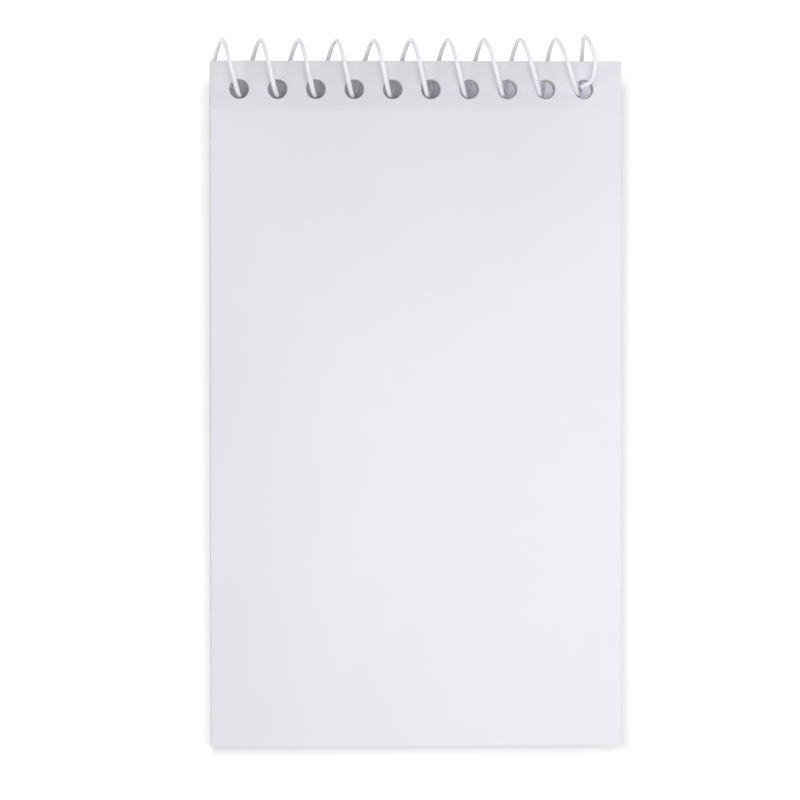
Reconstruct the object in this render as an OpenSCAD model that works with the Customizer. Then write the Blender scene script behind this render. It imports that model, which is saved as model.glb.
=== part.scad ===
// Pocket notebook bound along its top edge by a coil of coated wire.
// X runs along the coil, Y from the foot of the pad to its bound edge and Z up from the surface it lies on.
// The origin is the middle of the whole outline, at the lowest point of the coil.

/* [Pad] */
// Width of the pad along the coil
pad_w = 76.2; // [60:0.1:110]
// Length of the pad from its foot to its bound edge
pad_l = 127; // [95:0.5:210]
// Radius of the two corners at the foot
corner_r = 0.4; // [0.3:0.1:6]
// Thickness of the cover card
cover_t = 0.32; // [0.2:0.02:0.5]
// Number of sheets in the block
sheets = 60; // [40:5:75]
// Thickness of one sheet
sheet_t = 0.075; // [0.06:0.005:0.09]
// Thickness of the stiff board at the back
board_t = 0.6; // [0.4:0.05:1.2]

/* [Hole row] */
// Diameter of the punched holes
hole_d = 3.65; // [3.4:0.05:4.6]
// Distance from one hole to the next
hole_pitch = 7.1; // [6.2:0.05:8.5]
// Distance of the first hole from the left edge
first_hole = 5.35; // [5.2:0.05:8]
// Distance of the row of holes from the bound edge
hole_inset = 5.25; // [4.6:0.05:7]

/* [Score] */
// Card left between the holes and the score line
score_margin = 2.15; // [1:0.05:6]
// Depth of the groove pressed into the card along the score line
score_depth = 0.06; // [0.02:0.01:0.12]
// Width of that groove
score_w = 0.3; // [0.1:0.05:0.8]
// Gap between the two sides of the score line
score_gap = 0.03; // [0.01:0.01:0.1]

/* [Coil] */
// Diameter of the coated wire
wire_d = 0.9; // [0.7:0.05:1]
// How much wider the coil is inside than the pad is thick
coil_play = 4.06; // [3.6:0.02:6]
// Height of the coil's axis over the middle of the pad's thickness, as the pad hangs in it
coil_lift = 0.8; // [0:0.1:1]
// Room between the wire and the wall of a hole at the middle of the pad's thickness
wire_room = 0.15; // [0.1:0.01:0.2]
// Room between a crimped end and the face of the pad or the loop beside it
end_room = 0.05; // [0.03:0.01:0.2]
// Where the wire lies in the first hole, as an angle from its foot side towards its left side
first_lean = -15; // [-20:1:30]
// The same angle in the last hole
last_lean = 41; // [30:1:60]
// How much closer the loops stand than the holes, drawn together by the crimped ends
loop_tuck = 0.22; // [0:0.02:0.3]
// How far the middle loops are pushed along towards the right end
loop_crowd = 0.64; // [0:0.02:0.8]
// Distance from the crest of the first loop to the hole that it enters, along the coil
crest_lead = 3.19; // [2.4:0.01:3.8]
// How far the last loop stands out past the others
end_reach = 0.5; // [0:0.05:1.5]
// Distance from the last hole to the crest of the loop that leaves it, along the coil
end_lead = 0.32; // [0:0.02:0.6]
// Distance of the wire from the left edge where it turns back behind the pad
left_turn = 0.8; // [0.6:0.05:1.5]
// Sideways reach of the wire past the last hole where it turns back in front of the pad
right_turn = 1.85; // [1.5:0.05:2.6]

/* [Smoothness] */
// Rings of points for each turn of the wire
rings_per_turn = 24; // [16:2:32]
// Sides of the wire
wire_sides = 8; // [6:1:12]
// Segments of each hole and corner
$fn = 48; // [24:4:96]

/* [Hidden] */

card_white = [0.92, 0.92, 0.95];
strip_white = [0.88, 0.88, 0.91];
paper_white = [0.95, 0.95, 0.93];
board_grey = [0.58, 0.56, 0.52];
wire_white = [0.94, 0.95, 0.98];

// Sizes of the pad
pages_t = sheets * sheet_t;
pad_t = board_t + pages_t + cover_t;
score_inset = hole_inset + hole_d / 2 + score_margin;
hole_count = floor((pad_w - 2 * first_hole) / hole_pitch) + 1;
last_hole = hole_count - 1;

// Sizes of the coil
wire_r = wire_d / 2;
coil_r = (pad_t + coil_play) / 2 + wire_r;
low_side = pad_t / 2 + coil_lift;
high_side = pad_t / 2 - coil_lift;
hole_room = hole_d / 2 - wire_r - wire_room;
wire_gap = wire_d + end_room;

// Places in the frame
crest_reach = 2 * coil_r - hole_inset - hole_room * cos(last_lean);
outline_l = pad_l + crest_reach + end_reach + wire_r;
edge_y = outline_l / 2 - crest_reach - end_reach - wire_r;
foot_y = edge_y - pad_l;
left_x = -pad_w / 2;
hole_y = edge_y - hole_inset;
score_y = edge_y - score_inset;
coil_z = coil_r + wire_r;
board_z = coil_z - low_side;
pages_z = board_z + board_t;
cover_z = pages_z + pages_t;
top_z = cover_z + cover_t;

// Places along the coil. Turn t is a whole number at the crest of a loop and a half more inside its hole.
loop_pitch = hole_pitch - loop_tuck;
function lean(t) = first_lean + (last_lean - first_lean) * t / (last_hole + 0.5);
function hole_x(i) = left_x + first_hole + i * hole_pitch;
function seat_x(i) = hole_x(i) - hole_room * sin(lean(i + 0.5));
function crowded(share) = 4 * loop_crowd * share * (1 - share);
function crest_x(i) = hole_x(0) - crest_lead + i * loop_pitch + crowded(i / last_hole);
function axis_y(t) = hole_y - hole_room * cos(lean(t)) + coil_r;

// A value that eases from a to b with the given slopes at its two ends
function eased(a, b, slope_a, slope_b, u) =
    let (v = 1 - u)
    a * v * v * (1 + 2 * u) + b * u * u * (1 + 2 * v) + slope_a * u * v * v - slope_b * u * u * v;

// A point at turn t of the coil. reach widens the part that stands out past the bound edge.
function coil_point(x, t, reach = 0) =
    let (out = cos(360 * t))
    [x, axis_y(t) + (coil_r + (out > 0 ? reach : 0)) * out, coil_z + coil_r * sin(360 * t)];

// The wire along its loops: over the front into a hole, then under the back to the next crest.
// The slopes are how far it moves along in half a turn. It leans over most between a crest and a hole, so at
// both of them its slope is less than that of an even coil.
crest_drift = 0.67;
seat_drift = 0.8;
even_slope = (hole_pitch + loop_pitch) / 4;
crest_slope = crest_drift * even_slope;
seat_slope = seat_drift * even_slope;
function wire_x(t) =
    let (i = floor(t), u = 2 * (t - i))
    u < 1
        ? eased(crest_x(i), seat_x(i), crest_slope, seat_slope, u)
        : eased(seat_x(i), crest_x(i + 1), seat_slope, crest_slope, u - 1);
function wire_point(t) = coil_point(wire_x(t), t);

// A crimped end, from where the wire passes the bound edge to its cut end beside the nearest loop.
// side is 1 in front of the pad and -1 behind it, t is the turn at the edge, crossing the turn of the loop.
// Each bend says how far the wire has come across, how far out from the coil's axis it is and how high,
// as shares of the way across to the loop, of the coil's radius and of the rise from there to the crest.
crimp_bends = [[0, 0.2, 0.7], [0, -0.2, 0.6], [0.15, -0.48, 0.3], [0.48, -0.63, 0]];
function crimp_point(x, t, out, height, side) = [x, axis_y(t) + out * coil_r, coil_z + side * height];
function crimp(turn_x, t, crossing, side) =
    let (
        flat = (side > 0 ? high_side : low_side) + wire_r + end_room,
        rise = coil_r - flat,
        inward = wire_x(crossing) + side * wire_gap - turn_x
    )
    concat(
        [for (b = crimp_bends) crimp_point(turn_x + b[0] * inward, t, b[1], flat + b[2] * rise, side)],
        [crimp_point(turn_x + inward, t, cos(360 * crossing), flat, side)]
    );

// A curve through a list of points, from its span first to its span last
end_steps = 5;
function slope_at(points, k) = (points[min(len(points) - 1, k + 1)] - points[max(0, k - 1)]) / 2;
function span(points, k, u) =
    eased(points[k], points[k + 1], slope_at(points, k), slope_at(points, k + 1), u);
function curve(points, first, last) =
    [for (k = [first:last], s = [0:end_steps - 1]) span(points, k, s / end_steps)];

// In turns of the coil: how far from a hole's middle a cut end lies beside its loop, and how much of a turn
// before or after a crest the wire needs to swing over from a crimped end
end_turn = 0.115;
swing_turn = 0.12;

// The left end comes out from behind the pad and rises to the first crest
left_turn_x = left_x + left_turn;
left_end = crimp(left_turn_x, 0, 0.5 + end_turn, -1);
left_knots = concat(
    [for (k = [len(left_end) - 1:-1:0]) left_end[k]],
    [coil_point((left_turn_x + crest_x(0)) / 2, -swing_turn), wire_point(0), wire_point(2 / rings_per_turn)]
);
left_path = curve(left_knots, 0, len(left_knots) - 3);

// The right end leaves the last hole, stands out past the other loops and comes down over the front
last_seat = last_hole + 0.5;
last_crest_x = hole_x(last_hole) + end_lead;
function last_rise(u) = eased(seat_x(last_hole), last_crest_x, even_slope, 0, u);
right_swing = 0.62 * right_turn;
right_end = crimp(hole_x(last_hole) + right_turn, last_seat, last_seat - end_turn, 1);
right_knots = concat(
    [wire_point(last_seat - 1 / 8)],
    [for (u = [0:0.25:1]) coil_point(last_rise(u), last_seat + u / 2, end_reach)],
    [coil_point(hole_x(last_hole) + right_swing, last_seat + 0.5 + swing_turn, end_reach / 2)],
    right_end
);
right_path = concat(curve(right_knots, 1, len(right_knots) - 2), [right_knots[len(right_knots) - 1]]);

loops = [for (s = [0:rings_per_turn * last_seat - 1]) wire_point(s / rings_per_turn)];
wire_path = concat(left_path, loops, right_path);

// A tube swept along a path. Each ring keeps the heading of the one before, so the tube doesn't twist.
function unit(v) = v / norm(v);
function heading(path, k) = unit(path[min(k + 1, len(path) - 1)] - path[max(k - 1, 0)]);
function square_to(v, along) = unit(v - (v * along) * along);
function ring(centre, along, out, r) = [
    for (s = [0:wire_sides - 1])
        let (a = 360 * s / wire_sides)
        centre + r * (cos(a) * out + sin(a) * cross(along, out))
];
module tube(path, r) {
    count = len(path);
    outs = [
        for (k = 0, out = square_to([1, 0, 0], heading(path, 0));
            k < count;
            k = k + 1, out = k < count ? square_to(out, heading(path, k)) : out)
            out
    ];
    points = [for (k = [0:count - 1]) each ring(path[k], heading(path, k), outs[k], r)];
    start = [for (s = [0:wire_sides - 1]) s];
    finish = [for (s = [wire_sides - 1:-1:0]) (count - 1) * wire_sides + s];
    sides = [
        for (k = [0:count - 2], s = [0:wire_sides - 1])
            let (a = k * wire_sides + s, b = k * wire_sides + (s + 1) % wire_sides)
            [a, a + wire_sides, b + wire_sides, b]
    ];
    polyhedron(points, concat([start], sides, [finish]), convexity = 10);
}

// Outline of the pad from its foot up to y, with its two foot corners rounded
module outline(y) {
    translate([left_x, foot_y + corner_r]) square([pad_w, y - foot_y - corner_r]);
    translate([left_x + corner_r, foot_y]) square([pad_w - 2 * corner_r, corner_r]);
    for (x = [left_x + corner_r, left_x + pad_w - corner_r])
        translate([x, foot_y + corner_r]) circle(corner_r);
}

module hole_row(z, t) {
    for (i = [0:last_hole])
        translate([hole_x(i), hole_y, z - t]) cylinder(d = hole_d, h = 3 * t);
}

module punched_layer(z, t) {
    difference() {
        translate([0, 0, z]) linear_extrude(t) outline(edge_y);
        hole_row(z, t);
    }
}

// Half of the groove along the score line, taken off the card's upper edge. side is 1 above the line.
module score_half(side) {
    translate([left_x - score_w, score_y, top_z])
        rotate([90, 0, 90])
            linear_extrude(pad_w + 2 * score_w)
                polygon([
                    [-side * score_w, score_depth],
                    [-side * score_w, -score_depth],
                    [0, -score_depth],
                    [side * score_w / 2, 0],
                    [side * score_w / 2, score_depth]
                ]);
}

module front_cover() {
    color(card_white)
        difference() {
            translate([0, 0, cover_z]) linear_extrude(cover_t) outline(score_y - score_gap / 2);
            score_half(-1);
        }
}

module cover_binding_strip() {
    color(strip_white)
        difference() {
            translate([left_x, score_y + score_gap / 2, cover_z])
                cube([pad_w, score_inset - score_gap / 2, cover_t]);
            hole_row(cover_z, cover_t);
            score_half(1);
        }
}

module pages() {
    color(paper_white) punched_layer(pages_z, pages_t);
}

module back_board() {
    color(board_grey) punched_layer(board_z, board_t);
}

module binding_coil() {
    color(wire_white) tube(wire_path, wire_r);
}

front_cover();
cover_binding_strip();
pages();
back_board();
binding_coil();
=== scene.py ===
"""Looks of a pocket notebook: scored card cover, ruled sheets, grey back board and a white wire coil."""
import logging
import math
import random
from contextlib import contextmanager
from dataclasses import dataclass, field, replace
from enum import Enum
from typing import Callable, Iterator, Sequence

import bmesh
import bpy
from mathutils import Matrix, Vector


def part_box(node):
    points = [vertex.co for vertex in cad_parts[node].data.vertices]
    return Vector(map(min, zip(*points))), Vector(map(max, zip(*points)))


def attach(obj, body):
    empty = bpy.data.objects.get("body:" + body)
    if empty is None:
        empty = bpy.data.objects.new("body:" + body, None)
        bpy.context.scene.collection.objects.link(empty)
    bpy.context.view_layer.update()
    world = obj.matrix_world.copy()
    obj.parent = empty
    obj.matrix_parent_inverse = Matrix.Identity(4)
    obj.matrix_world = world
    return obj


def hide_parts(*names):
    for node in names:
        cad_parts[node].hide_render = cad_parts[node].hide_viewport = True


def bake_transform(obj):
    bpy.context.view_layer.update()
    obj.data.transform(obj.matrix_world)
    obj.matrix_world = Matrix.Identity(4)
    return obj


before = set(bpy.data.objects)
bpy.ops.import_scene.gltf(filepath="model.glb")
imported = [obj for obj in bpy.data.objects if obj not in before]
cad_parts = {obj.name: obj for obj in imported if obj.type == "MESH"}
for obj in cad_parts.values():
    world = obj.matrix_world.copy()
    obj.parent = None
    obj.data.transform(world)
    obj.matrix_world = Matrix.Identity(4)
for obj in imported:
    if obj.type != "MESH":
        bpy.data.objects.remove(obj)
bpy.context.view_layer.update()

log = logging.getLogger("notebook")

MM = 0.001
Point = tuple[float, float, float]
Colour = tuple[float, float, float, float]
Socket = bpy.types.NodeSocket


class Body(Enum):
    """The moving bodies that pieces ride on."""

    PAD = "pad"
    COVER = "cover"


class Slot(Enum):
    """The material slots of the pieces."""

    CARD = "cover_card"
    PAPER = "paper"
    BOARD = "grey_board"
    WIRE = "coated_wire"


# Modelling by hand: selecting in code, cutting, punching and finishing


def activate(piece: bpy.types.Object) -> None:
    """Make one object the only selected and the active one.

    Args:
        piece: The object to work on.
    """
    bpy.ops.object.select_all(action="DESELECT")
    piece.select_set(True)
    bpy.context.view_layer.objects.active = piece


@contextmanager
def edit_mode(piece: bpy.types.Object, part: str = "VERT") -> Iterator[None]:
    """Open one object in edit mode with nothing selected, and close it again.

    Args:
        piece: The mesh object to edit.
        part: The select mode, VERT, EDGE or FACE.
    """
    activate(piece)
    bpy.ops.object.mode_set(mode="EDIT")
    bpy.ops.mesh.select_mode(type=part)
    bpy.ops.mesh.select_all(action="DESELECT")
    yield
    bpy.ops.object.mode_set(mode="OBJECT")


def pick(piece: bpy.types.Object, kind: str, test: Callable[[Vector, Vector], bool]) -> None:
    """Select the parts of the mesh in edit mode whose place and normal pass a test.

    Args:
        piece: The object in edit mode.
        kind: verts, edges or faces.
        test: Takes the middle and the normal of a part and says whether it is selected.
    """
    mesh = bmesh.from_edit_mesh(piece.data)
    for part in getattr(mesh, kind):
        if kind == "verts":
            middle, normal = part.co, part.normal
        elif kind == "edges":
            middle = (part.verts[0].co + part.verts[1].co) / 2
            normal = (part.verts[0].normal + part.verts[1].normal) / 2
        else:
            middle, normal = part.calc_center_median(), part.normal
        if test(middle, normal):
            part.select_set(True)
    mesh.select_flush_mode()
    bmesh.update_edit_mesh(piece.data)


def place_applied(piece: bpy.types.Object) -> None:
    """Put an object's place, turn and scale into its mesh.

    Args:
        piece: The object, which ends at the origin.
    """
    activate(piece)
    bpy.ops.object.transform_apply(location=True, rotation=True, scale=True)


def modify(piece: bpy.types.Object, kind: str, **settings: object) -> None:
    """Add a modifier and apply it at once.

    Args:
        piece: The mesh object.
        kind: The modifier's type.
        settings: Its settings by name.
    """
    modifier = piece.modifiers.new(kind.title(), kind)
    for name, value in settings.items():
        setattr(modifier, name, value)
    activate(piece)
    bpy.ops.object.modifier_apply(modifier=modifier.name)


def cut_lines(piece: bpy.types.Object, axis: int, places: Sequence[float]) -> None:
    """Cut straight lines across a flat mesh.

    Args:
        piece: The mesh object.
        axis: 0 for lines at fixed x, 1 for lines at fixed y.
        places: Where the lines lie, in metres.
    """
    normal = Vector((0, 0, 0))
    normal[axis] = 1
    with edit_mode(piece):
        for place in places:
            bpy.ops.mesh.select_all(action="SELECT")
            bpy.ops.mesh.bisect(plane_co=normal * place, plane_no=normal)


@dataclass(frozen=True)
class Pad:
    """Sizes that the cover, the sheets, the board and the coil share, in metres."""

    left: float
    right: float
    foot: float
    bound: float
    score: float
    board_z: float
    pages_z: float
    cover_z: float
    top_z: float
    hole_d: float = 3.65 * MM
    hole_pitch: float = 7.1 * MM
    first_hole: float = 5.35 * MM
    hole_inset: float = 5.25 * MM
    hole_count: int = 10
    corner_r: float = 0.4 * MM

    @classmethod
    def measured(cls) -> "Pad":
        """Take the places of edges and faces from the CAD nodes.

        Returns:
            The pad.
        """
        low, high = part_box("pages")
        cover_low, cover_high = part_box("front_cover")
        score = (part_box("cover_binding_strip")[0].y + cover_high.y) / 2
        board_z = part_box("back_board")[0].z
        return cls(low.x, high.x, low.y, high.y, score, board_z, low.z, cover_low.z, cover_high.z)

    @property
    def hole_y(self) -> float:
        """The row of holes."""
        return self.bound - self.hole_inset

    @property
    def thickness(self) -> float:
        """Board, sheets and cover together."""
        return self.top_z - self.board_z

    def hole_x(self, index: int) -> float:
        """The middle of one hole, counted from the left."""
        return self.left + self.first_hole + index * self.hole_pitch

    def columns(self) -> list[float]:
        """Lines along the pad that pass between the holes.

        Returns:
            The x of each line.
        """
        return [self.hole_x(i) + self.hole_pitch / 2 for i in range(-1, self.hole_count)]


def flat_sheet(name: str, pad: Pad, height: float) -> bpy.types.Object:
    """Make the pad's outline as one flat face with its two foot corners rounded.

    Args:
        name: The object's name.
        pad: The shared sizes.
        height: The z of the face.

    Returns:
        The new object.
    """
    bpy.ops.object.select_all(action="DESELECT")
    middle = ((pad.left + pad.right) / 2, (pad.foot + pad.bound) / 2, height)
    bpy.ops.mesh.primitive_plane_add(size=1, location=middle)
    sheet = bpy.context.object
    sheet.name = name
    sheet.data.name = name
    sheet.scale = (pad.right - pad.left, pad.bound - pad.foot, 1)
    place_applied(sheet)
    with edit_mode(sheet):
        pick(sheet, "verts", lambda co, _: co.y < middle[1])
        bpy.ops.mesh.bevel(affect="VERTICES", offset=pad.corner_r, segments=6, profile=0.5)
    return sheet


def punch(piece: bpy.types.Object, pad: Pad, sides: int = 48, wider: float = 0.0) -> None:
    """Punch the row of holes through a piece.

    Args:
        piece: The solid to punch.
        pad: The shared sizes.
        sides: Sides of each hole.
        wider: What is added to the holes' diameter.
    """
    low, high = (min(v.co.z for v in piece.data.vertices), max(v.co.z for v in piece.data.vertices))
    depth = 3 * (high - low)
    bpy.ops.object.select_all(action="DESELECT")
    punches = []
    for index in range(pad.hole_count):
        bpy.ops.mesh.primitive_cylinder_add(
            vertices=sides,
            radius=(pad.hole_d + wider) / 2,
            depth=depth,
            location=(pad.hole_x(index), pad.hole_y, (low + high) / 2),
        )
        punches.append(bpy.context.object)
    bpy.ops.object.select_all(action="DESELECT")
    for one in punches:
        one.select_set(True)
    bpy.context.view_layer.objects.active = punches[0]
    bpy.ops.object.join()
    tool = bpy.context.object
    place_applied(tool)
    modify(piece, "BOOLEAN", operation="DIFFERENCE", solver="EXACT", object=tool)
    activate(tool)
    bpy.ops.object.delete()


def soften(piece: bpy.types.Object, width: float, segments: int = 2) -> None:
    """Round a piece's sharp edges a little and shade it so that its flat faces stay flat.

    Args:
        piece: The solid.
        width: How far the rounding reaches from each edge.
        segments: Faces across the rounding.
    """
    modify(
        piece,
        "BEVEL",
        width=width,
        segments=segments,
        limit_method="ANGLE",
        angle_limit=math.radians(50),
        use_clamp_overlap=True,
    )
    activate(piece)
    bpy.ops.object.shade_smooth_by_angle(angle=math.radians(60))
    modify(piece, "WEIGHTED_NORMAL", mode="FACE_AREA", weight=90, keep_sharp=True)


def settle(piece: bpy.types.Object, slot: Slot, body: Body, *nodes: str) -> None:
    """Let a finished piece ride on a body in place of CAD nodes.

    Args:
        piece: The finished object.
        slot: The material slot of its finish; not used.
        body: The body that it moves with.
        nodes: The nodes that it stands for.
    """
    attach(piece, body.value)
    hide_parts(*nodes)
    log.info("%s rides on %s: %d faces", piece.name, body.value, len(piece.data.polygons))


# Finishes


class Sketch:
    """A material's node tree, built node by node."""

    def __init__(self, name: str) -> None:
        """Start an empty material.

        Args:
            name: The material's name.
        """
        self.material = bpy.data.materials.new(name)
        self.material.use_nodes = True
        self.tree = self.material.node_tree
        self.tree.nodes.clear()
        self.output = self.add("ShaderNodeOutputMaterial")

    def add(self, kind: str, inputs: dict | None = None, **settings: object) -> bpy.types.Node:
        """Add one node.

        Args:
            kind: The node's type.
            inputs: Values or sockets by input name or number.
            settings: The node's own settings.

        Returns:
            The new node.
        """
        node = self.tree.nodes.new(kind)
        for name, value in settings.items():
            setattr(node, name, value)
        for name, value in (inputs or {}).items():
            if isinstance(value, Socket):
                self.tree.links.new(value, node.inputs[name])
            else:
                node.inputs[name].default_value = value
        return node

    def place(self) -> Socket:
        """The place on the object, in metres."""
        return self.add("ShaderNodeTexCoord").outputs["Object"]

    def mapped(self, scale: Point) -> Socket:
        """The place with each axis scaled.

        Args:
            scale: The scale along x, y and z.

        Returns:
            The scaled place.
        """
        return self.add("ShaderNodeMapping", {"Vector": self.place(), "Scale": scale}).outputs["Vector"]

    def noise(
        self,
        grain: float,
        stretch: Point = (1, 1, 1),
        detail: float = 3,
        rough: float = 0.5,
    ) -> Socket:
        """A cloudy pattern.

        Args:
            grain: The size of its blots, in metres.
            stretch: How many times longer the blots are along x, y and z.
            detail: How many finer layers it has.
            rough: How strong the finer layers are.

        Returns:
            The pattern's socket, about 0.5 on the whole.
        """
        scale = tuple(1 / (grain * s) for s in stretch)
        inputs = {"Vector": self.mapped(scale), "Scale": 1.0, "Detail": detail, "Roughness": rough}
        return self.add("ShaderNodeTexNoise", inputs).outputs["Fac"]

    def ramp(
        self,
        value: Socket,
        low: float,
        high: float,
        to_low: float,
        to_high: float,
        smooth: bool = True,
    ) -> Socket:
        """Map a value from one range to another, held at both ends.

        Args:
            value: The value's socket.
            low: Where the first end is met.
            high: Where the second end is met.
            to_low: The result at the first end.
            to_high: The result at the second end.
            smooth: True to ease in and out, False for a straight line.

        Returns:
            The result's socket.
        """
        inputs = {"Value": value, "From Min": low, "From Max": high, "To Min": to_low, "To Max": to_high}
        way = "SMOOTHSTEP" if smooth else "LINEAR"
        return self.add("ShaderNodeMapRange", inputs, interpolation_type=way).outputs["Result"]

    def math(self, operation: str, *values: object) -> Socket:
        """One step of arithmetic.

        Args:
            operation: The Math node's operation.
            values: Numbers or sockets.

        Returns:
            The result's socket.
        """
        return self.add("ShaderNodeMath", dict(enumerate(values)), operation=operation).outputs[0]

    def blend(self, share: object, first: object, second: object, how: str = "MIX") -> Socket:
        """Mix two colours.

        Args:
            share: How much of the second colour there is.
            first: The first colour or its socket.
            second: The second colour or its socket.
            how: The way of mixing.

        Returns:
            The mixed colour's socket.
        """
        node = self.add("ShaderNodeMix", data_type="RGBA", blend_type=how)
        for number, value in ((0, share), (6, first), (7, second)):
            if isinstance(value, Socket):
                self.tree.links.new(value, node.inputs[number])
            else:
                node.inputs[number].default_value = value
        return node.outputs[2]

    def shaded(self, colour: object, factor: Socket) -> Socket:
        """Make a colour darker or paler.

        Args:
            colour: The colour or its socket.
            factor: What each of its channels is multiplied by.

        Returns:
            The new colour's socket.
        """
        grey = self.add("ShaderNodeCombineColor", {0: factor, 1: factor, 2: factor}).outputs[0]
        return self.blend(1.0, colour, grey, "MULTIPLY")

    def product(self, *values: object) -> Socket:
        """Multiply numbers or sockets.

        Args:
            values: Two or more of them.

        Returns:
            The product's socket.
        """
        result, *rest = values
        for value in rest:
            result = self.math("MULTIPLY", result, value)
        return result

    def split(self, vector: Socket) -> bpy.types.NodeOutputs:
        """The x, y and z of a vector."""
        return self.add("ShaderNodeSeparateXYZ", {"Vector": vector}).outputs

    def upright(self) -> Socket:
        """How far the surface faces along z, 1 on a flat face and 0 on a cut edge."""
        z = self.split(self.add("ShaderNodeNewGeometry").outputs["Normal"])["Z"]
        return self.math("ABSOLUTE", z)

    def bump(self, height: Socket, strength: float, distance: float) -> Socket:
        """Relief from a height.

        Args:
            height: The height's socket.
            strength: How much of the relief shows.
            distance: The relief's depth for a height of 1, in metres.

        Returns:
            The normal's socket.
        """
        inputs = {"Height": height, "Strength": strength, "Distance": distance}
        return self.add("ShaderNodeBump", inputs).outputs["Normal"]

    def surface(self, inputs: dict) -> bpy.types.Material:
        """Finish with one Principled surface.

        Args:
            inputs: The shader's values or sockets by name.

        Returns:
            The material.
        """
        shader = self.add("ShaderNodeBsdfPrincipled", inputs)
        self.tree.links.new(shader.outputs[0], self.output.inputs["Surface"])
        return self.material


@dataclass(frozen=True)
class CardFinish:
    """Smooth white cover card with a faint lilac cast, with a little painted shade on the strip above
    the score, on the card just below it and on the lower left side.
    """

    tone: Colour = (0.838, 0.836, 0.884, 1)
    shade: Colour = (0.803, 0.801, 0.849, 1)
    cloudiness: float = 0.25
    cloud_grain: float = 14 * MM
    fibre_grain: float = 0.12 * MM
    fibre_depth: float = 0.02 * MM
    fibre_shade: float = 0.985
    strip_shade: float = 0.915
    strip_blur: float = 0.2 * MM
    strip_ease: tuple[float, float] = (0.5, 0.6)
    coil_shade: float = 0.966
    coil_shade_w: float = 50 * MM
    left_shade: float = 0.972
    right_ease: float = 0.1
    cut_edge_highlight: float = 1.05
    roughness: float = 0.6
    rough_play: float = 0.06

    def make(self, pad: Pad) -> bpy.types.Material:
        """Build the material.

        Args:
            pad: The shared sizes, for the strip above the score line.

        Returns:
            The material.
        """
        sketch = Sketch("cover_card")
        clouds = sketch.ramp(sketch.noise(self.cloud_grain, detail=2), 0.3, 0.7, 0, self.cloudiness)
        fibres = sketch.noise(self.fibre_grain, stretch=(1, 2.5, 1), detail=4, rough=0.6)
        specks = sketch.ramp(fibres, 0.35, 0.65, self.fibre_shade, 1)
        # Painted highlight: the card's cut edges are made paler than its faces.
        cut = sketch.ramp(sketch.upright(), 0.2, 0.8, self.cut_edge_highlight, 1)
        colour = sketch.blend(clouds, self.tone, self.shade)
        # The colour takes painted shade on the strip, below the coil and at the lower left, and a
        # painted highlight on the cut edges.
        for factor in (specks, *self._painted_shade(sketch, pad), cut):
            colour = sketch.shaded(colour, factor)
        dull, keen = self.roughness + self.rough_play, self.roughness - self.rough_play
        return sketch.surface(
            {
                "Base Color": colour,
                "Roughness": sketch.ramp(fibres, 0.3, 0.7, keen, dull),
                "Specular IOR Level": 0.3,
                "Normal": sketch.bump(fibres, 0.12, self.fibre_depth),
            }
        )

    def _painted_shade(self, sketch: Sketch, pad: Pad) -> list[Socket]:
        """Painted shade on the strip above the score, on the card just below it near the coil and on the
        lower left side.

        Args:
            sketch: The material.
            pad: The shared sizes.

        Returns:
            A factor for each of the three.
        """
        # Painted shade: the strip under the coil, the card just below it and the lower left side are
        # darkened.
        place = sketch.split(sketch.place())
        above = sketch.ramp(place["Y"], pad.score - self.strip_blur, pad.score + self.strip_blur, 0, 1)
        left_part = sketch.ramp(place["X"], pad.left, 0.4 * pad.left, 0, 1)
        right_part = sketch.ramp(place["X"], 0.5 * pad.right, pad.right, 1, self.right_ease)
        low_ease, left_ease = self.strip_ease
        rising = sketch.ramp(place["Y"], pad.score, pad.hole_y, low_ease, 1)
        leftwards = sketch.ramp(left_part, 0, 1, left_ease, 1, smooth=False)
        strip = sketch.product(above, rising, leftwards, right_part)
        near_coil = sketch.ramp(place["Y"], pad.score - self.coil_shade_w, pad.score, 0, 1)
        beside_strip = sketch.product(near_coil, left_part, right_part)
        lower = sketch.math("SUBTRACT", 1, near_coil)
        lower_left = sketch.product(lower, sketch.math("SUBTRACT", 1, left_part))
        parts = (strip, beside_strip, lower_left)
        shades = (self.strip_shade, self.coil_shade, self.left_shade)
        return [sketch.ramp(part, 0, 1, 1, shade, smooth=False) for part, shade in zip(parts, shades)]


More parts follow.
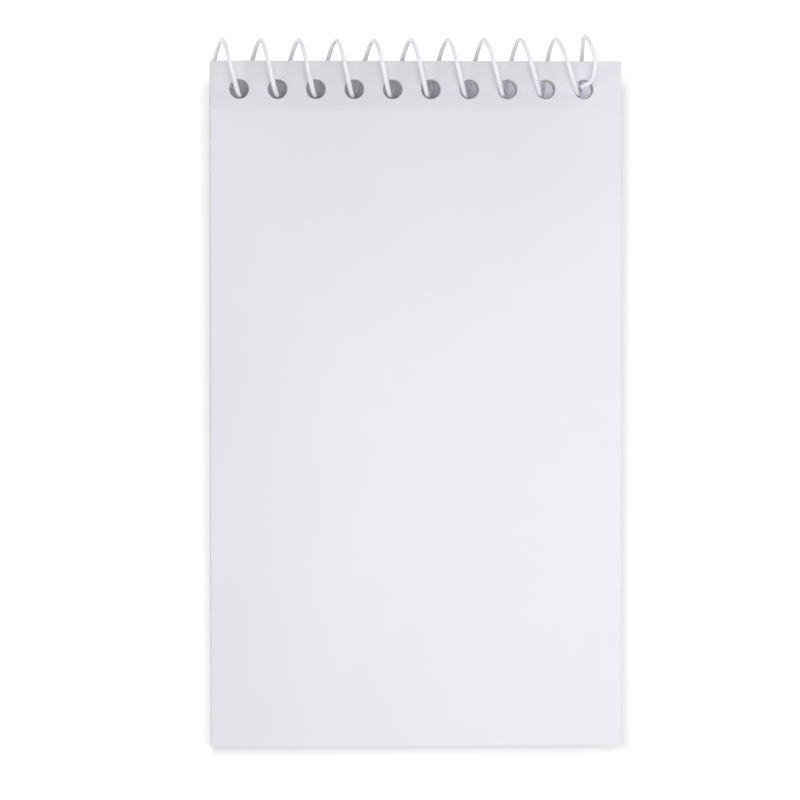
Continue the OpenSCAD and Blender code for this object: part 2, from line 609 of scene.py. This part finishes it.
@dataclass(frozen=True)
class PaperFinish:
    """White writing paper with faint ruled lines, and painted shade between the sheets on its cut edges.
    """

    tone: Colour = (0.86, 0.86, 0.85, 1)
    edge: Colour = (0.87, 0.875, 0.89, 1)
    gap_shade: Colour = (0.66, 0.665, 0.675, 1)
    line: Colour = (0.36, 0.47, 0.66, 1)
    line_pitch: float = 6.35 * MM
    line_w: float = 0.14 * MM
    first_line: float = 11 * MM
    fibre_grain: float = 0.1 * MM
    fibre_depth: float = 0.02 * MM
    leaf_grain: float = 0.035 * MM
    bunch_grain: float = 0.22 * MM

    def make(self, pad: Pad) -> bpy.types.Material:
        """Build the material.

        Args:
            pad: The shared sizes, for the place of the first line.

        Returns:
            The material.
        """
        sketch = Sketch("ruled_paper")
        fibres = sketch.noise(self.fibre_grain, stretch=(1, 3, 1), detail=4, rough=0.65)
        upright = sketch.upright()
        place = sketch.split(sketch.place())
        down = sketch.math("SUBTRACT", pad.hole_y - self.first_line, place["Y"])
        phase = sketch.math("PINGPONG", down, self.line_pitch / 2)
        near = sketch.math("LESS_THAN", phase, self.line_w / 2)
        below = sketch.math("GREATER_THAN", down, -self.line_w)
        face = sketch.math("GREATER_THAN", upright, 0.7)
        worn = sketch.product(near, below, face, sketch.ramp(fibres, 0.3, 0.6, 0.45, 0.75))
        leaf = sketch.noise(self.leaf_grain, stretch=(60, 60, 1), detail=1)
        bunch = sketch.noise(self.bunch_grain, stretch=(90, 90, 1), detail=3, rough=0.7)
        edge = sketch.blend(sketch.ramp(leaf, 0.35, 0.65, 0, 0.5), self.edge, self.tone)
        # Painted shade: darker bunches on the cut edges stand for the shade in the gaps between sheets.
        edge = sketch.blend(sketch.ramp(bunch, 0.52, 0.68, 0, 0.8), edge, self.gap_shade)
        colour = sketch.blend(sketch.ramp(upright, 0.3, 0.9, 0, 1), edge, self.tone)
        colour = sketch.blend(worn, colour, self.line)
        return sketch.surface(
            {
                "Base Color": colour,
                "Roughness": 0.85,
                "Specular IOR Level": 0.2,
                "Normal": sketch.bump(fibres, 0.15, self.fibre_depth),
            }
        )


@dataclass(frozen=True)
class BoardFinish:
    """Raw grey board with darker and paler fibres."""

    tone: Colour = (0.52, 0.505, 0.475, 1)
    dark: Colour = (0.33, 0.315, 0.29, 1)
    pale: Colour = (0.68, 0.665, 0.63, 1)
    dark_grain: float = 0.16 * MM
    pale_grain: float = 0.14 * MM
    cloud_grain: float = 7 * MM
    layer_grain: float = 0.1 * MM
    fibre_depth: float = 0.03 * MM

    def make(self) -> bpy.types.Material:
        """Build the material."""
        sketch = Sketch("grey_board")
        along = sketch.noise(self.dark_grain, stretch=(1, 7, 1), detail=3, rough=0.6)
        across = sketch.noise(self.pale_grain, stretch=(6, 1.4, 1), detail=3, rough=0.6)
        clouds = sketch.ramp(sketch.noise(self.cloud_grain, detail=2), 0.3, 0.7, 0.95, 1.03)
        colour = sketch.blend(sketch.ramp(along, 0.6, 0.72, 0, 0.75), self.tone, self.dark)
        colour = sketch.blend(sketch.ramp(across, 0.6, 0.74, 0, 0.6), colour, self.pale)
        colour = sketch.shaded(colour, clouds)
        layers = sketch.noise(self.layer_grain, stretch=(40, 40, 1), detail=2)
        edge = sketch.shaded(colour, sketch.ramp(layers, 0.3, 0.7, 0.8, 1.05))
        colour = sketch.blend(sketch.ramp(sketch.upright(), 0.3, 0.9, 0, 1), edge, colour)
        height = sketch.math("ADD", along, across)
        return sketch.surface(
            {
                "Base Color": colour,
                "Roughness": 0.9,
                "Specular IOR Level": 0.2,
                "Normal": sketch.bump(height, 0.35, self.fibre_depth),
            }
        )


@dataclass(frozen=True)
class WireFinish:
    """A satin white coat over steel wire."""

    tone: Colour = (0.915, 0.925, 0.985, 1)
    dull: Colour = (0.875, 0.885, 0.95, 1)
    cloud_grain: float = 1.2 * MM
    skin_grain: float = 0.25 * MM
    skin_depth: float = 0.02 * MM
    glow_depth: float = 0.5 * MM

    def make(self) -> bpy.types.Material:
        """Build the material of the coat."""
        sketch = Sketch("coated_wire")
        clouds = sketch.noise(self.cloud_grain, detail=4, rough=0.6)
        skin = sketch.noise(self.skin_grain, detail=3)
        return sketch.surface(
            {
                "Base Color": sketch.blend(sketch.ramp(clouds, 0.35, 0.7, 0, 1), self.tone, self.dull),
                "Roughness": sketch.ramp(clouds, 0.3, 0.7, 0.28, 0.4),
                "Specular IOR Level": 0.45,
                "Subsurface Weight": 0.5,
                "Subsurface Radius": (1.0, 1.0, 1.0),
                "Subsurface Scale": self.glow_depth,
                "Coat Weight": 0.35,
                "Coat Roughness": 0.3,
                "Normal": sketch.bump(skin, 0.2, self.skin_depth),
            }
        )


@dataclass(frozen=True)
class CutSteelFinish:
    """Bare steel where the wire was cut."""

    tone: Colour = (0.42, 0.42, 0.43, 1)
    bright: Colour = (0.6, 0.6, 0.61, 1)
    line_grain: float = 0.05 * MM
    line_depth: float = 0.02 * MM

    def make(self) -> bpy.types.Material:
        """Build the material of the cut ends."""
        sketch = Sketch("cut_steel")
        lines = sketch.noise(self.line_grain, stretch=(6, 1, 1), detail=2)
        return sketch.surface(
            {
                "Base Color": sketch.blend(lines, self.tone, self.bright),
                "Metallic": 1.0,
                "Roughness": 0.38,
                "Normal": sketch.bump(lines, 0.3, self.line_depth),
            }
        )


# Pieces


@dataclass
class CoverCard:
    """The whole cover, one sheet of card with a score line that it folds along."""

    pad: Pad
    finish: CardFinish = field(default_factory=CardFinish)
    rim: float = 0.06 * MM
    fold_half: float = 0.42 * MM
    groove_half: float = 0.16 * MM
    groove_depth: float = 0.03 * MM
    foot_lift: float = 0.22 * MM
    pick_reach: float = 0.01 * MM
    rows: int = 18
    side_lift: float = 0.25

    def build(self) -> bpy.types.Object:
        """Model the card and dress it.

        Returns:
            The finished piece.
        """
        pad, low, high = self.pad, self.pad.cover_z, self.pad.top_z
        card = flat_sheet("cover_card", pad, high)
        cut_lines(card, 0, pad.columns())
        across = [pad.foot + (pad.score - pad.foot) * share / self.rows for share in range(1, self.rows)]
        fold = [pad.score + self.fold_half * share / 4 for share in range(-5, 6)]
        groove = [pad.score - self.groove_half, pad.score + self.groove_half]
        cut_lines(card, 1, across + fold + groove)
        modify(card, "SOLIDIFY", thickness=high - low, offset=-1)
        punch(card, pad)
        soften(card, self.rim)
        self._press_groove(card, high)
        self._warp(card)
        card.data.materials.append(self.finish.make(pad))
        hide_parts("front_cover", "cover_binding_strip")
        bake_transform(card)
        log.info("%s bends from %s to %s", card.name, Body.PAD.value, Body.COVER.value)
        return card

    def _press_groove(self, card: bpy.types.Object, high: float) -> None:
        """Press the score line into the outer face.

        Args:
            card: The card.
            high: The z of its outer face.
        """
        reach = self.pick_reach
        with edit_mode(card):
            pick(card, "verts", lambda co, _: abs(co.y - self.pad.score) < reach and co.z > high - reach)
            bpy.ops.transform.translate(value=(0, 0, -self.groove_depth))

    def _warp(self, card: bpy.types.Object) -> None:
        """Lift the free part of the cover a little, as card that has been handled lies.

        Args:
            card: The card.
        """
        pad = self.pad
        for vertex in card.data.vertices:
            run = (pad.score - vertex.co.y) / (pad.score - pad.foot)
            if run > 0:
                swell = math.sin(math.pi * min(run, 1) / 2) ** 2
                side = 1 - self.side_lift * (1 - math.cos(math.pi * vertex.co.x / pad.right))
                vertex.co.z += self.foot_lift * swell * side


@dataclass
class PageBlock:
    """The block of ruled sheets, each a thin leaf with its own row of holes."""

    pad: Pad
    finish: PaperFinish = field(default_factory=PaperFinish)
    sheets: int = 60
    air: float = 0.008 * MM
    stray: float = 0.03 * MM
    hole_slack: float = 0.05 * MM
    seed: int = 7

    def build(self) -> bpy.types.Object:
        """Model one sheet, stack its copies and dress the block.

        Returns:
            The finished piece.
        """
        low, high = self.pad.pages_z, self.pad.cover_z
        pitch = (high - low) / self.sheets
        trimmed = replace(
            self.pad,
            left=self.pad.left + self.stray,
            right=self.pad.right - self.stray,
            foot=self.pad.foot + self.stray,
            bound=self.pad.bound - self.stray,
        )
        first = flat_sheet("pages_block", trimmed, low + pitch - self.air / 2)
        modify(first, "SOLIDIFY", thickness=pitch - self.air, offset=-1)
        punch(first, self.pad, sides=28, wider=self.hole_slack)
        chance = random.Random(self.seed)
        copies = [first]
        for index in range(1, self.sheets):
            sheet = first.copy()
            sheet.data = first.data.copy()
            bpy.context.scene.collection.objects.link(sheet)
            sheet.location = (
                chance.uniform(-self.stray, self.stray),
                chance.uniform(-self.stray, 0.4 * self.stray),
                index * pitch,
            )
            copies.append(sheet)
        bpy.ops.object.select_all(action="DESELECT")
        for sheet in copies:
            sheet.select_set(True)
        bpy.context.view_layer.objects.active = first
        bpy.ops.object.join()
        place_applied(first)
        first.data.materials.append(self.finish.make(self.pad))
        settle(first, Slot.PAPER, Body.PAD, "pages")
        return first


@dataclass
class BackBoard:
    """The stiff grey board behind the sheets."""

    pad: Pad
    finish: BoardFinish = field(default_factory=BoardFinish)
    rim: float = 0.06 * MM
    below_holes: float = 2.6 * MM

    def build(self) -> bpy.types.Object:
        """Model and dress the board.

        Returns:
            The finished piece.
        """
        low, high = self.pad.board_z, self.pad.pages_z
        board = flat_sheet("stiff_board", self.pad, high)
        cut_lines(board, 0, self.pad.columns())
        cut_lines(board, 1, [self.pad.hole_y - self.below_holes])
        modify(board, "SOLIDIFY", thickness=high - low, offset=-1)
        punch(board, self.pad)
        soften(board, self.rim)
        board.data.materials.append(self.finish.make())
        settle(board, Slot.BOARD, Body.PAD, "back_board")
        return board


@dataclass(frozen=True)
class CoilRoute:
    """The way of the wire through the holes, in metres and degrees. Turns are whole at the crests."""

    pad: Pad
    wire_d: float = 0.9 * MM
    coil_play: float = 4.06 * MM
    coil_lift: float = 0.8 * MM
    wire_room: float = 0.15 * MM
    end_room: float = 0.05 * MM
    first_lean: float = -15
    last_lean: float = 41
    loop_tuck: float = 0.22 * MM
    loop_crowd: float = 0.64 * MM
    crest_lead: float = 3.19 * MM
    end_reach: float = 0.5 * MM
    end_lead: float = 0.32 * MM
    left_turn: float = 0.8 * MM
    right_turn: float = 1.85 * MM
    crest_drift: float = 0.67
    seat_drift: float = 0.8
    end_turn: float = 0.115
    swing_turn: float = 0.12
    right_swing: float = 0.62
    bends: tuple[Point, ...] = ((0, 0.2, 0.7), (0, -0.2, 0.6), (0.15, -0.48, 0.3), (0.48, -0.63, 0))

    @property
    def wire_r(self) -> float:
        """Radius of the wire."""
        return self.wire_d / 2

    @property
    def coil_r(self) -> float:
        """Radius of the coil at the middle of the wire."""
        return (self.pad.thickness + self.coil_play) / 2 + self.wire_r

    @property
    def coil_z(self) -> float:
        """Height of the coil's axis."""
        return self.coil_r + self.wire_r

    @property
    def hole_room(self) -> float:
        """How far the wire hangs from a hole's middle."""
        return self.pad.hole_d / 2 - self.wire_r - self.wire_room

    @property
    def last_hole(self) -> int:
        """Number of the last hole."""
        return self.pad.hole_count - 1

    @property
    def loop_pitch(self) -> float:
        """Distance from loop to loop."""
        return self.pad.hole_pitch - self.loop_tuck

    @property
    def even_slope(self) -> float:
        """How far an even coil would move along in half a turn, as a slope."""
        return (self.pad.hole_pitch + self.loop_pitch) / 4

    @property
    def crest_slope(self) -> float:
        """The wire's slope at a crest."""
        return self.crest_drift * self.even_slope

    @property
    def seat_slope(self) -> float:
        """The wire's slope inside a hole."""
        return self.seat_drift * self.even_slope

    def lean(self, turn: float) -> float:
        """Where the wire lies in a hole, as an angle from its foot side, in radians."""
        share = turn / (self.last_hole + 0.5)
        return math.radians(self.first_lean + (self.last_lean - self.first_lean) * share)

    def seat_x(self, index: int) -> float:
        """Where the wire passes the middle of a hole."""
        return self.pad.hole_x(index) - self.hole_room * math.sin(self.lean(index + 0.5))

    def crest_x(self, index: int) -> float:
        """Where a loop has its crest."""
        share = index / self.last_hole
        crowded = 4 * self.loop_crowd * share * (1 - share)
        return self.pad.hole_x(0) - self.crest_lead + index * self.loop_pitch + crowded

    def axis_y(self, turn: float) -> float:
        """Where the coil's axis lies at a turn."""
        return self.pad.hole_y - self.hole_room * math.cos(self.lean(turn)) + self.coil_r

    def coil_point(self, x: float, turn: float, reach: float = 0) -> Vector:
        """A point at a turn of the coil.

        Args:
            x: The place along the coil.
            turn: The turn.
            reach: What is added to the part past the bound edge.

        Returns:
            The point.
        """
        out = math.cos(2 * math.pi * turn)
        wide = self.coil_r + (reach if out > 0 else 0)
        height = self.coil_z + self.coil_r * math.sin(2 * math.pi * turn)
        return Vector((x, self.axis_y(turn) + wide * out, height))

    def wire_x(self, turn: float) -> float:
        """Where the wire is along the coil at a turn of its loops."""
        index = math.floor(turn)
        half = 2 * (turn - index)
        crest, seat = self.crest_slope, self.seat_slope
        if half < 1:
            return eased(self.crest_x(index), self.seat_x(index), crest, seat, half)
        return eased(self.seat_x(index), self.crest_x(index + 1), seat, crest, half - 1)

    def wire_point(self, turn: float) -> Vector:
        """A point at a turn of the loops."""
        return self.coil_point(self.wire_x(turn), turn)

    def crimp(self, turn_x: float, turn: float, crossing: float, side: int) -> list[Vector]:
        """A crimped end, from the bound edge to the cut end beside the nearest loop.

        Args:
            turn_x: Where the wire turns back.
            turn: The turn at the bound edge.
            crossing: The turn of the loop beside the cut end.
            side: 1 in front of the pad and -1 behind it.

        Returns:
            Its bends in order.
        """
        half = self.pad.thickness / 2 - side * self.coil_lift
        flat = half + self.wire_r + self.end_room
        rise = self.coil_r - flat
        inward = self.wire_x(crossing) + side * (self.wire_d + self.end_room) - turn_x
        last = (1, math.cos(2 * math.pi * crossing), 0)
        return [
            Vector(
                (
                    turn_x + across * inward,
                    self.axis_y(turn) + out * self.coil_r,
                    self.coil_z + side * (flat + high * rise),
                )
            )
            for across, out, high in (*self.bends, last)
        ]

    def points(self, per_turn: int, per_span: int) -> list[Vector]:
        """The whole way of the wire.

        Args:
            per_turn: Points for each turn of the loops.
            per_span: Points for each span of the crimped ends.

        Returns:
            The points from the left cut end to the right one.
        """
        left_x = self.pad.left + self.left_turn
        left = self.crimp(left_x, 0, 0.5 + self.end_turn, -1)[::-1]
        left += [
            self.coil_point((left_x + self.crest_x(0)) / 2, -self.swing_turn),
            self.wire_point(0),
            self.wire_point(2 / 24),
        ]
        last_seat = self.last_hole + 0.5
        last_x = self.pad.hole_x(self.last_hole)
        right = [self.wire_point(last_seat - 1 / 8)]
        for step in range(5):
            share = step / 4
            x = eased(self.seat_x(self.last_hole), last_x + self.end_lead, self.even_slope, 0, share)
            right.append(self.coil_point(x, last_seat + share / 2, self.end_reach))
        swing_x = last_x + self.right_swing * self.right_turn
        right.append(self.coil_point(swing_x, last_seat + 0.5 + self.swing_turn, self.end_reach / 2))
        right += self.crimp(last_x + self.right_turn, last_seat, last_seat - self.end_turn, 1)
        loops = [self.wire_point(step / per_turn) for step in range(int(per_turn * last_seat))]
        left_way = curve(left, 0, len(left) - 3, per_span)
        right_way = curve(right, 1, len(right) - 2, per_span) + [right[-1]]
        return left_way + loops + right_way


def eased(first: object, last: object, slope_first: object, slope_last: object, share: float) -> object:
    """A value or point that eases from one to another with a given slope at each end.

    Args:
        first: Its start.
        last: Its end.
        slope_first: The slope at the start.
        slope_last: The slope at the end.
        share: How far it has come, from 0 to 1.

    Returns:
        The value there.
    """
    rest = 1 - share
    ends = first * (rest * rest * (1 + 2 * share)) + last * (share * share * (1 + 2 * rest))
    return ends + slope_first * (share * rest * rest) - slope_last * (share * share * rest)


def curve(points: Sequence[Vector], first: int, last: int, steps: int) -> list[Vector]:
    """A smooth curve through a list of points.

    Args:
        points: The points.
        first: The first span.
        last: The last span.
        steps: How many points each span gets.

    Returns:
        The points of the curve, without its very last one.
    """

    def slope(index: int) -> Vector:
        """The slope at one of the points."""
        return (points[min(len(points) - 1, index + 1)] - points[max(0, index - 1)]) / 2

    return [
        eased(points[k], points[k + 1], slope(k), slope(k + 1), step / steps)
        for k in range(first, last + 1)
        for step in range(steps)
    ]


@dataclass
class BindingCoil:
    """The coated wire, wound through the holes and crimped back at both ends."""

    pad: Pad
    finish: WireFinish = field(default_factory=WireFinish)
    cut: CutSteelFinish = field(default_factory=CutSteelFinish)
    coat_t: float = 0.1 * MM
    facet_room: float = 0.026 * MM
    cap_reach: float = 0.05 * MM
    weld: float = 0.001 * MM
    burr: float = 0.08
    dome: float = 0.25
    per_turn: int = 96
    per_span: int = 20

    def build(self) -> bpy.types.Object:
        """Sweep the wire along its route, finish its cut ends and dress it.

        Returns:
            The finished piece.
        """
        route = CoilRoute(self.pad)
        points = route.points(self.per_turn, self.per_span)
        bpy.ops.object.select_all(action="DESELECT")
        bpy.ops.curve.primitive_nurbs_path_add()
        wire = bpy.context.object
        wire.name = "wire_coil"
        shape = wire.data
        shape.splines.clear()
        spline = shape.splines.new("POLY")
        spline.points.add(len(points) - 1)
        for point, place in zip(spline.points, points):
            point.co = (*place, 1)
        shape.dimensions = "3D"
        shape.twist_mode = "MINIMUM"
        shape.bevel_depth = route.wire_r - self.facet_room
        shape.bevel_resolution = 6
        shape.use_fill_caps = True
        activate(wire)
        bpy.ops.object.convert(target="MESH")
        wire = bpy.context.object
        wire.data.name = "wire_coil"
        place_applied(wire)
        wire.data.materials.append(self.finish.make())
        wire.data.materials.append(self.cut.make())
        self._finish_ends(wire, (points[0], points[-1]), route.wire_r)
        activate(wire)
        bpy.ops.object.shade_smooth_by_angle(angle=math.radians(50))
        settle(wire, Slot.WIRE, Body.PAD, "binding_coil")
        return wire

    def _finish_ends(self, wire: bpy.types.Object, ends: Sequence[Vector], radius: float) -> None:
        """Merge the caps, round them over and show the steel inside the coat.

        Args:
            wire: The swept wire.
            ends: The middles of the two cut ends.
            radius: The wire's radius.
        """

        def cap(co: Vector, _: Vector) -> bool:
            """True for a face in the middle of a cut end."""
            return min((co - end).length for end in ends) < self.cap_reach

        with edit_mode(wire, "FACE"):
            bpy.ops.mesh.select_all(action="SELECT")
            bpy.ops.mesh.remove_doubles(threshold=self.weld)
            bpy.ops.mesh.normals_make_consistent(inside=False)
            bpy.ops.mesh.select_all(action="DESELECT")
            pick(wire, "faces", cap)
            bpy.ops.mesh.inset(thickness=self.burr * radius, depth=self.dome * self.coat_t)
            bpy.ops.mesh.inset(thickness=self.coat_t, depth=0)
            wire.active_material_index = 1
            bpy.ops.object.material_slot_assign()


# The studio


@dataclass(frozen=True)
class Lamp:
    """A square soft lamp, placed by how it is seen from the middle of the object."""

    name: str
    azimuth: float
    elevation: float
    distance: float
    size: float
    power: float

    def hang(self) -> None:
        """Make the lamp and turn it towards the object."""
        level = self.distance * math.cos(math.radians(self.elevation))
        place = Vector(
            (
                level * math.cos(math.radians(self.azimuth)),
                level * math.sin(math.radians(self.azimuth)),
                self.distance * math.sin(math.radians(self.elevation)),
            )
        )
        bpy.ops.object.light_add(type="AREA", location=place)
        lamp = bpy.context.object
        lamp.name = self.name
        lamp.data.size = self.size
        lamp.data.energy = self.power
        lamp.visible_camera = False
        lamp.rotation_euler = (-place).to_track_quat("-Z", "Y").to_euler()


@dataclass(frozen=True)
class FloorFinish:
    """A matt floor that looks white round the notebook and keeps its shadows, with a painted contact
    shadow by the right, foot and left edges, painted light over the shadows past the bound and left
    edges and a painted glow under the coil.
    """

    tone: Colour = (0.93, 0.93, 0.935, 1)
    seen_tone: Colour = (0.45, 0.45, 0.455, 1)
    under_tint: Colour = (0.94, 0.96, 1.12, 1)
    glow: float = 0.73
    bound_painted_light: float = 0.27
    left_painted_light: float = 0.2
    far_glow: float = 0.3
    contact: float = 0.32
    contact_w: float = 3.9 * MM
    contact_left: tuple[float, float] = (0.3 * MM, 8 * MM)
    contact_bound: float = 5.5 * MM
    right_more: float = 0.4 * MM
    foot_less: float = 0.3 * MM
    bound_edge: tuple[float, float] = (-1 * MM, 1.5 * MM)
    left_edge: tuple[float, float] = (-0.6 * MM, 0.2 * MM)
    left_fade: tuple[float, float] = (15 * MM, 80 * MM)
    far_fade: tuple[float, float] = (40 * MM, 200 * MM)
    under_left: float = 0.155
    under_right: float = 0.51
    under_w: float = 9 * MM

    def make(self, pad: Pad) -> bpy.types.Material:
        """Build the material.

        Its glow is only seen past the pad, while under the coil a painted glow, seen by all rays and
        brighter to the right, stands in for light that leaks in.

        Args:
            pad: The shared sizes, for the place of the pad on the floor.

        Returns:
            The material.
        """
        sketch = Sketch("floor")
        path = sketch.add("ShaderNodeLightPath").outputs
        seen = sketch.math("MAXIMUM", path["Is Camera Ray"], path["Is Glossy Ray"])
        seen = sketch.math("MAXIMUM", seen, path["Is Transmission Ray"])
        place = sketch.split(sketch.place())
        right = sketch.math("SUBTRACT", place["X"], pad.right)
        left = sketch.math("SUBTRACT", pad.left, place["X"])
        foot = sketch.math("MULTIPLY", place["Y"], -1)
        bound = sketch.math("SUBTRACT", place["Y"], pad.bound - pad.foot)
        beside, beyond = sketch.math("MAXIMUM", right, left), sketch.math("MAXIMUM", foot, bound)
        outside = sketch.math("MAXIMUM", beside, beyond)
        beneath = sketch.math("LESS_THAN", outside, 0)
        # Painted shadow next to the pad: near is glow taken away from the open floor's glow.
        near = self._painted_contact_shadow(sketch, right, left, foot, bound)
        far = self._open(sketch, left, bound, outside)
        open_glow = sketch.product(sketch.math("SUBTRACT", far, near), seen)
        # Painted light: a glow under the pad near the coil, seen by all rays and tinted blue, rising
        # from left to right.
        middle = pad.hole_x(pad.hole_count // 2)
        levels = (self.under_left, self.under_right)
        level = sketch.ramp(place["X"], middle, pad.right, *levels, smooth=False)
        painted_under_glow = sketch.product(level, sketch.ramp(bound, -self.under_w, -self.under_w / 2, 0, 1))
        strength = sketch.add("ShaderNodeMix", {0: beneath, 2: open_glow, 3: painted_under_glow}).outputs[0]
        tint = sketch.blend(beneath, (1, 1, 1, 1), self.under_tint)
        glow = sketch.add("ShaderNodeEmission", {"Color": tint, "Strength": strength}).outputs[0]
        colour = sketch.blend(seen, self.tone, self.seen_tone)
        matt = sketch.add("ShaderNodeBsdfDiffuse", {"Color": colour})
        both = sketch.add("ShaderNodeAddShader", {0: matt.outputs[0], 1: glow}).outputs[0]
        sketch.tree.links.new(both, sketch.output.inputs["Surface"])
        return sketch.material

    def _painted_contact_shadow(self, sketch: Sketch, *past: Socket) -> Socket:
        """Painted contact shadow: how much glow is taken away next to the right, foot and left edges of
        the pad.

        Args:
            sketch: The material.
            past: How far a place is past the right, left, foot and bound edges.

        Returns:
            The missing glow.
        """
        right, left, foot, bound = past
        past_right = sketch.math("SUBTRACT", right, self.right_more)
        away = sketch.math("MAXIMUM", past_right, sketch.math("ADD", foot, self.foot_less))
        return sketch.product(
            sketch.ramp(away, 0, self.contact_w, 1, 0, smooth=False),
            sketch.ramp(left, *self.contact_left, 1, 0, smooth=False),
            sketch.ramp(bound, -self.contact_bound, 0, self.contact, 0),
        )

    def _open(self, sketch: Sketch, *past: Socket) -> Socket:
        """How much glow makes the open floor look white, with painted light over the shadows past the
        bound and left edges.

        Args:
            sketch: The material.
            past: How far a place is past the left edge, the bound edge and any edge.

        Returns:
            The glow.
        """
        left, bound, outside = past
        beside = sketch.ramp(left, *self.left_edge, 0, self.left_painted_light)
        # Painted light: extra glow past the bound and left edges covers the shadows that fall there.
        parts = (
            sketch.ramp(bound, *self.bound_edge, self.glow, self.glow + self.bound_painted_light),
            sketch.product(beside, sketch.ramp(left, *self.left_fade, 1, 0)),
            sketch.ramp(outside, *self.far_fade, 0, self.far_glow),
        )
        return sketch.math("ADD", sketch.math("ADD", parts[0], parts[1]), parts[2])


@dataclass
class Studio:
    """A pale floor that meets coil and board, under a white sky and four soft lamps."""

    pad: Pad
    floor_size: float = 3.0
    floor_gap: float = 0.02 * MM
    finish: FloorFinish = field(default_factory=FloorFinish)
    sky: float = 0.29
    lamps: tuple[Lamp, ...] = (
        Lamp("key_lamp", 327, 67.7, 0.168, 0.16, 0.107),
        Lamp("top_lamp", 110, 84, 0.6, 0.3, 0.93),
        Lamp("left_lamp", 185, 38, 0.8, 0.4, 1.1),
        Lamp("right_lamp", 50, 20, 0.8, 0.4, 1.2),
    )

    def build(self) -> None:
        """Make the floor, the world and the lamps."""
        self._floor()
        self._world()
        for lamp in self.lamps:
            lamp.hang()

    def _floor(self) -> None:
        """Lay the floor against the coil's lowest side and the foot edge of the board."""
        route = CoilRoute(self.pad)
        foot = Vector((0, self.pad.foot, self.pad.board_z))
        axis = Vector((0, route.axis_y(route.last_hole / 2), route.coil_z))
        away = axis - foot
        reach = route.coil_z + self.floor_gap
        tilt = math.atan2(away.z, away.y) - math.asin(reach / math.hypot(away.y, away.z))
        bpy.ops.object.select_all(action="DESELECT")
        bpy.ops.mesh.primitive_plane_add(size=self.floor_size, location=foot, rotation=(tilt, 0, 0))
        floor = bpy.context.object
        floor.name = "floor"
        floor.data.materials.append(self.finish.make(self.pad))
        log.info("floor tilted by %.2f degrees", math.degrees(tilt))

    def _world(self) -> None:
        """Even light from all round, seen as white."""
        world = bpy.data.worlds.new("studio")
        bpy.context.scene.world = world
        world.use_nodes = True
        tree = world.node_tree
        back = tree.nodes["Background"]
        path = tree.nodes.new("ShaderNodeLightPath").outputs
        seen: Socket = path["Is Camera Ray"]
        for ray in ("Is Glossy Ray", "Is Transmission Ray"):
            either = tree.nodes.new("ShaderNodeMath")
            either.operation = "MAXIMUM"
            tree.links.new(seen, either.inputs[0])
            tree.links.new(path[ray], either.inputs[1])
            seen = either.outputs[0]
        level = tree.nodes.new("ShaderNodeMapRange")
        tree.links.new(seen, level.inputs["Value"])
        level.inputs["To Min"].default_value = self.sky
        level.inputs["To Max"].default_value = 1.0
        tree.links.new(level.outputs["Result"], back.inputs["Strength"])
        back.inputs["Color"].default_value = (1, 1, 1, 1)


@dataclass
class Camera:
    """A camera above the notebook, looking almost straight down."""

    aim: Point = (-3.055 * MM, -1.856 * MM, 7.55 * MM)
    distance: float = 0.87
    pixel: float = 0.18522 * MM
    pixels: int = 800
    sensor: float = 36.0
    tilt: Point = (0.79, 3.046, 0.059)

    def build(self) -> None:
        """Make the camera and set it as the scene's."""
        x, y, z = (Matrix.Rotation(-math.radians(a), 3, axis) for a, axis in zip(self.tilt, "XYZ"))
        turn = y @ x @ z
        place = Vector(self.aim) + turn @ Vector((0, 0, self.distance))
        bpy.ops.object.camera_add(location=place, rotation=turn.to_euler())
        camera = bpy.context.object
        camera.name = "camera"
        camera.data.sensor_width = self.sensor
        camera.data.lens = self.sensor * self.distance / (self.pixel * self.pixels)
        camera.data.clip_start = 0.01
        camera.data.clip_end = 10
        bpy.context.scene.camera = camera


def main() -> None:
    """Build every piece of the notebook and the studio round it."""
    logging.basicConfig(level=logging.INFO, format="%(name)s: %(message)s")
    bpy.context.scene.view_settings.view_transform = "Standard"
    pad = Pad.measured()
    for piece in (CoverCard(pad), PageBlock(pad), BackBoard(pad), BindingCoil(pad)):
        made = piece.build()
        log.info("built %s", made.name)
    Studio(pad).build()
    Camera().build()


if __name__ == "__main__":
    main()
